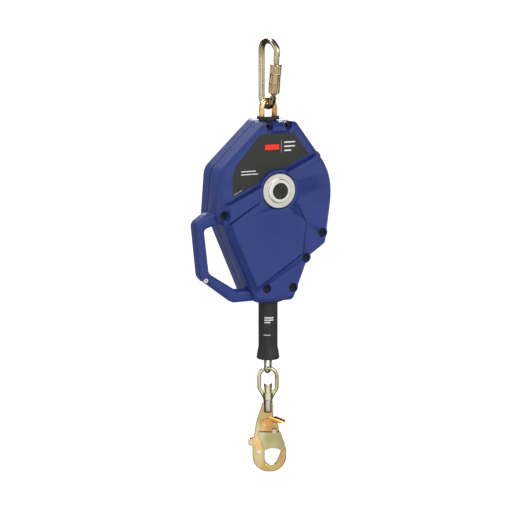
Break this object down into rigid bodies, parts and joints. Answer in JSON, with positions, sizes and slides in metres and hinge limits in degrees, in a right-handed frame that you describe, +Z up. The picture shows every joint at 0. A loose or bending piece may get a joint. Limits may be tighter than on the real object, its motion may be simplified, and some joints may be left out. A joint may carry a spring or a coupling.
{
  "type": "self retracting lifeline",
  "caption": "Self retracting steel cable lifeline: blue two-part housing with side handle, steel carabiner above, bumper and swivel snap hook below.",
  "frame": {"origin": "the hanging point: the inside of the carabiner's crown, on the vertical line through the swivel and the cable", "axes": "+Z up along the hanging line; the housing's labelled front faces -Y; +X is its right side"},
  "size_m": [0.2348, 0.0832, 0.7055],
  "materials": {
    "housing_plastic": "moulded blue polymer with a fine texture",
    "label_film": "printed charcoal label film",
    "black_screws": "blackened steel screws",
    "threaded_brass": "knurled brass inserts",
    "satin_steel": "satin turned stainless steel",
    "knurled_cap": "dark knurled cap",
    "black_polymer": "black moulded polymer",
    "bronze_bush": "plain bearing bronze",
    "frame_steel": "zinc plated pressed steel",
    "drum_aluminium": "turned aluminium",
    "spring_steel": "blue grey spring strip",
    "brake_lining": "pressed friction lining",
    "eye_zinc": "orange gold passivated zinc",
    "carabiner_zinc": "olive gold zinc plate",
    "sleeve_zinc": "tan gold zinc plate with flutes",
    "galvanised_cable": "galvanised stranded steel",
    "bumper_rubber": "matte black rubber",
    "bow_zinc": "pale olive gold zinc plate",
    "barrel_zinc": "grey gold zinc plate",
    "hook_zinc": "matte yellow gold zinc plate on a forging",
    "gate_zinc": "olive gold pressed steel",
    "lever_zinc": "copper gold pressed steel",
    "rivet_steel": "silver gold rivets"
  },
  "bodies": {
    "carabiner": {"carabiner_frame": "carabiner_zinc", "carabiner_gate_pin": "carabiner_zinc"},
    "carabiner_gate": {"carabiner_gate": "carabiner_zinc"},
    "locking_sleeve": {"carabiner_sleeve": "sleeve_zinc"},
    "anchor_swivel": {"anchor_eye": "eye_zinc", "swivel_stud": "black_polymer", "anchor_stud_nut": "frame_steel"},
    "housing": {"front_housing": "housing_plastic", "rear_housing": "housing_plastic", "label_plate": "label_film", "housing_bolts": "black_screws", "threaded_inserts": "threaded_brass", "handle_rivet": "satin_steel", "outlet_flange": "black_polymer", "cable_bush": "bronze_bush", "front_frame_plate": "frame_steel", "rear_frame_plate": "frame_steel", "anchor_block": "frame_steel", "anchor_bush": "black_polymer", "main_shaft": "satin_steel", "rear_shaft_nut": "satin_steel", "hub_washer": "satin_steel", "hub_ring": "satin_steel", "hub_cap": "knurled_cap", "spring_arbor": "frame_steel", "brake_lining": "brake_lining", "pressure_washer": "frame_steel", "inner_cable": "galvanised_cable", "outer_cable": "galvanised_cable"},
    "drum": {"cable_drum": "drum_aluminium", "front_drum_bush": "bronze_bush", "rear_drum_bush": "bronze_bush", "spring_cup": "frame_steel", "wound_cable": "galvanised_cable", "power_spring": "spring_steel", "pawl_pins": "frame_steel"},
    "brake_ring": {"ratchet_ring": "frame_steel"},
    "upper_pawl": {"upper_pawl": "frame_steel"},
    "lower_pawl": {"lower_pawl": "frame_steel"},
    "lifeline_end": {"bumper_sleeve": "bumper_rubber", "cable_stop": "galvanised_cable", "loop_ferrule": "galvanised_cable", "cable_loop": "galvanised_cable"},
    "swivel_eye": {"swivel_bow": "bow_zinc"},
    "snap_hook": {"hook_stud": "bow_zinc", "castle_nut": "bow_zinc", "hook_barrel": "barrel_zinc", "hook_body": "hook_zinc", "gate_rivet": "rivet_steel", "lock_rivet": "rivet_steel", "latch_rivet": "rivet_steel"},
    "hook_gate": {"hook_gate": "gate_zinc"},
    "lock_lever": {"lock_lever": "lever_zinc"},
    "release_latch": {"release_latch": "lever_zinc", "latch_pin": "rivet_steel"}
  },
  "joints": [
    {"name": "carabiner_gate_hinge", "type": "hinge", "parent": "carabiner", "child": "carabiner_gate", "pos_m": [0.00314, -0.01261, -0.086], "axis": [-0.9703, -0.2419, 0], "range_deg": [0, 18], "stiffness_Nm_per_rad": 0.3, "springref_deg": -34.38},
    {"name": "sleeve_twist", "type": "hinge", "parent": "carabiner_gate", "child": "locking_sleeve", "pos_m": [0.00314, -0.01261, -0.086], "axis": [0.0307, -0.1233, 0.9919], "range_deg": [0, 90], "stiffness_Nm_per_rad": 0.04, "springref_deg": -34.38},
    {"name": "anchor_swing", "type": "hinge", "parent": "carabiner", "child": "anchor_swivel", "pos_m": [0, 0, -0.099], "axis": [0.2419, -0.9703, 0], "range_deg": [-35, 35]},
    {"name": "housing_swivel", "type": "hinge", "parent": "anchor_swivel", "child": "housing", "pos_m": [0, 0, -0.12], "axis": [0, 0, 1], "continuous": true},
    {"name": "lifeline_payout", "type": "slide", "parent": "housing", "child": "lifeline_end", "axis": [0, 0, -1], "range_m": [0, 9.0338], "stiffness_N_per_m": 2, "springref_m": -5, "deforming": ["outer_cable"]},
    {"name": "drum_spin", "type": "hinge", "parent": "housing", "child": "drum", "pos_m": [0, 0, -0.228], "axis": [0, 1, 0], "continuous": true},
    {"name": "brake_slip", "type": "hinge", "parent": "housing", "child": "brake_ring", "pos_m": [0, 0, -0.228], "axis": [0, 1, 0], "continuous": true},
    {"name": "upper_pawl_pivot", "type": "hinge", "parent": "drum", "child": "upper_pawl", "pos_m": [0, -0.017, -0.18], "axis": [0, -1, 0], "range_deg": [0, 11], "stiffness_Nm_per_rad": 0.02, "springref_deg": -28.65},
    {"name": "lower_pawl_pivot", "type": "hinge", "parent": "drum", "child": "lower_pawl", "pos_m": [0, -0.017, -0.276], "axis": [0, -1, 0], "range_deg": [0, 11], "stiffness_Nm_per_rad": 0.02, "springref_deg": -28.65},
    {"name": "eye_swing", "type": "hinge", "parent": "lifeline_end", "child": "swivel_eye", "pos_m": [0, 0, -0.53], "axis": [0.829, 0.5592, 0], "range_deg": [-25, 25]},
    {"name": "hook_swivel", "type": "hinge", "parent": "swivel_eye", "child": "snap_hook", "pos_m": [0, 0, -0.57], "axis": [0, 0, 1], "continuous": true},
    {"name": "hook_gate_hinge", "type": "hinge", "parent": "snap_hook", "child": "hook_gate", "pos_m": [0.00943, -0.0044, -0.6265], "axis": [0.4226, 0.9063, 0], "range_deg": [0, 42], "stiffness_Nm_per_rad": 0.3, "springref_deg": -34.38},
    {"name": "lock_lever_hinge", "type": "hinge", "parent": "snap_hook", "child": "lock_lever", "pos_m": [-0.00544, 0.00254, -0.616], "axis": [0.4226, 0.9063, 0], "range_deg": [0, 8], "stiffness_Nm_per_rad": 0.3, "springref_deg": -22.92},
    {"name": "release_latch_hinge", "type": "hinge", "parent": "snap_hook", "child": "release_latch", "pos_m": [-0.01332, 0.00621, -0.661], "axis": [0.4226, 0.9063, 0], "range_deg": [0, 8], "stiffness_Nm_per_rad": 0.2, "springref_deg": -22.92}
  ],
  "couplings": [
    {"joint": "drum_spin", "follows": "lifeline_payout", "rad_per_m": 18.779}
  ]
}
